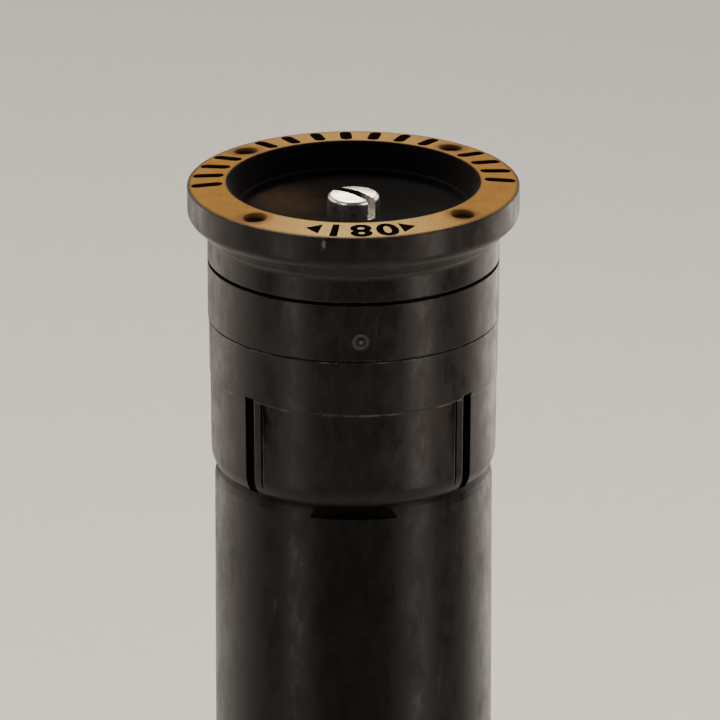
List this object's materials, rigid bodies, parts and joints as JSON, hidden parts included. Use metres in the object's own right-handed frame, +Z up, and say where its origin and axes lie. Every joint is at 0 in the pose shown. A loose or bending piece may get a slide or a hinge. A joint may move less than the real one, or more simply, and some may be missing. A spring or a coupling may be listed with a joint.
{
  "type": "pop-up spray sprinkler",
  "caption": "Pop-up lawn spray head, risen: ribbed cap on a threaded case, spring-returned riser, tick-marked nozzle ring and slotted adjusting screw.",
  "frame": {"origin": "middle of the pipe thread's mouth, on the flat end that the case stands on", "axes": "+Z up along the riser, the way it rises; +Y towards the back, the way the nozzle sprays; +X to the right, seen from the front"},
  "size_m": [0.057, 0.057, 0.2556],
  "materials": {
    "case_plastic": "fine moulded grain",
    "cap_plastic": "moulded, slightly worn on the grip ribs",
    "grey_plastic": "moulded",
    "white_plastic": "acetal, satin",
    "rubber": "matt",
    "spring_steel": "drawn wire",
    "mesh_steel": "fine woven screen",
    "riser_plastic": "satin, fine grain",
    "nozzle_plastic": "satin, lightly scuffed",
    "ring_plastic": "satin tan",
    "screw_steel": "bright, polished"
  },
  "bodies": {
    "case": {"case": "case_plastic", "cap": "cap_plastic", "cap_gasket": "rubber", "seal_carrier": "grey_plastic", "wiper_seal": "rubber", "seal_retainer": "white_plastic", "spring_seat": "white_plastic", "retraction_spring": "spring_steel"},
    "ratchet": {"ratchet_ring": "white_plastic"},
    "riser": {"riser_stem": "riser_plastic", "check_valve_body": "grey_plastic", "check_valve_seal": "rubber", "filter_frame": "white_plastic", "filter_mesh": "mesh_steel", "nozzle_base": "nozzle_plastic", "nozzle_deflector": "nozzle_plastic", "colour_ring": "ring_plastic"},
    "screw": {"adjusting_screw": "screw_steel", "screw_clip": "spring_steel"},
    "throttle": {"throttle_plug": "white_plastic"}
  },
  "joints": [
    {"name": "riser_slide", "type": "slide", "parent": "case", "child": "ratchet", "axis": [0, 0, 1], "range_m": [-0.1, 0], "stiffness_N_per_m": 250, "springref_m": 0.096, "deforming": ["retraction_spring"]},
    {"name": "arc_turn", "type": "hinge", "parent": "ratchet", "child": "riser", "pos_m": [0, 0, 0.1212], "axis": [0, 0, 1], "continuous": true},
    {"name": "adjust_screw_turn", "type": "hinge", "parent": "riser", "child": "screw", "pos_m": [0, 0, 0.2522], "axis": [0, 0, 1], "range_deg": [-1080, 0]},
    {"name": "throttle_slide", "type": "slide", "parent": "riser", "child": "throttle", "axis": [0, 0, 1], "range_m": [0, 0.0024]}
  ],
  "couplings": [
    {"joint": "adjust_screw_turn", "follows": "throttle_slide", "rad_per_m": -7854}
  ]
}
